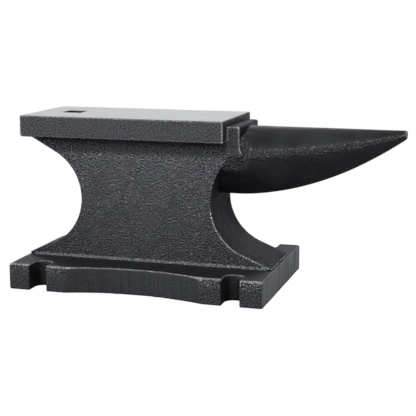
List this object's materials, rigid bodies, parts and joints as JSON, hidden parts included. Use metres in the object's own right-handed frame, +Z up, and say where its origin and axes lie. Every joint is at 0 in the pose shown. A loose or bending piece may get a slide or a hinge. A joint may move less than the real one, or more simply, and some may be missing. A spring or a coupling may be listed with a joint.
{
  "type": "anvil",
  "caption": "Small single-horn anvil with a ground face, a square hardie hole, a step table and a slotted base.",
  "frame": {"origin": "centre of the base's flat underside", "axes": "+X towards the horn's tip, +Z up out of the working face, Y across the anvil"},
  "size_m": [0.3645, 0.16, 0.1637],
  "materials": {
    "black_cast": "satin black paint over an orange-peel cast skin",
    "black_horn": "satin black paint over a smooth ground horn",
    "black_bead": "satin black paint over a rough bead",
    "ground_face": "ground bright on the working face, satin black paint on the sides"
  },
  "bodies": {
    "root": {"base": "black_cast", "waist": "black_cast", "face_plate": "ground_face", "cutting_table": "black_cast", "horn": "black_horn", "base_weld": "black_bead", "table_weld": "black_bead", "horn_weld": "black_bead"}
  },
  "joints": []
}
